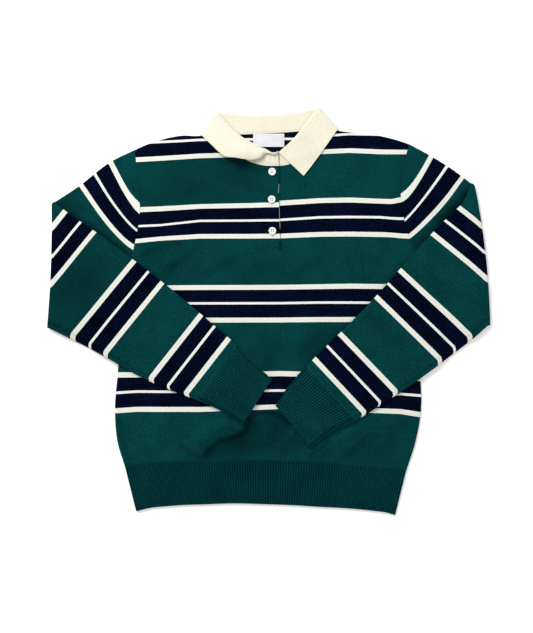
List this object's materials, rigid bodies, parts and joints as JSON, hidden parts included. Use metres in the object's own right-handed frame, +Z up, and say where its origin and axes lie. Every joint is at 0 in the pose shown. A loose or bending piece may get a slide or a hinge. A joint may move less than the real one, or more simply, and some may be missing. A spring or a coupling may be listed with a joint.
{
  "type": "collared sweater",
  "caption": "Striped long-sleeved knitted sweater with a fold-down collar and a short buttoned placket, laid flat with its sleeves folded over the front",
  "frame": {"origin": "centre of the laid garment's bounds in plan, on the surface it lies on", "axes": "+X across the garment towards the wearer's left sleeve, +Y up towards the collar, +Z up off the surface"},
  "size_m": [0.6868, 0.6312, 0.024],
  "materials": {
    "green_knit": "matte fine knit with rib at hem and cuffs",
    "cream_knit": "matte knit",
    "label": "plain satin weave",
    "button": "pearly"
  },
  "bodies": {
    "root": {"back": "green_knit", "front": "green_knit", "hem_rib_front": "green_knit", "hem_rib_back": "green_knit", "sleeve_right": "green_knit", "sleeve_left": "green_knit", "cuff_rib_right": "green_knit", "cuff_rib_left": "green_knit", "collar": "cream_knit", "placket_underlap": "green_knit", "placket_facing": "cream_knit", "neck_label": "label", "button_top": "button", "button_middle": "button", "button_bottom": "button"}
  },
  "joints": []
}
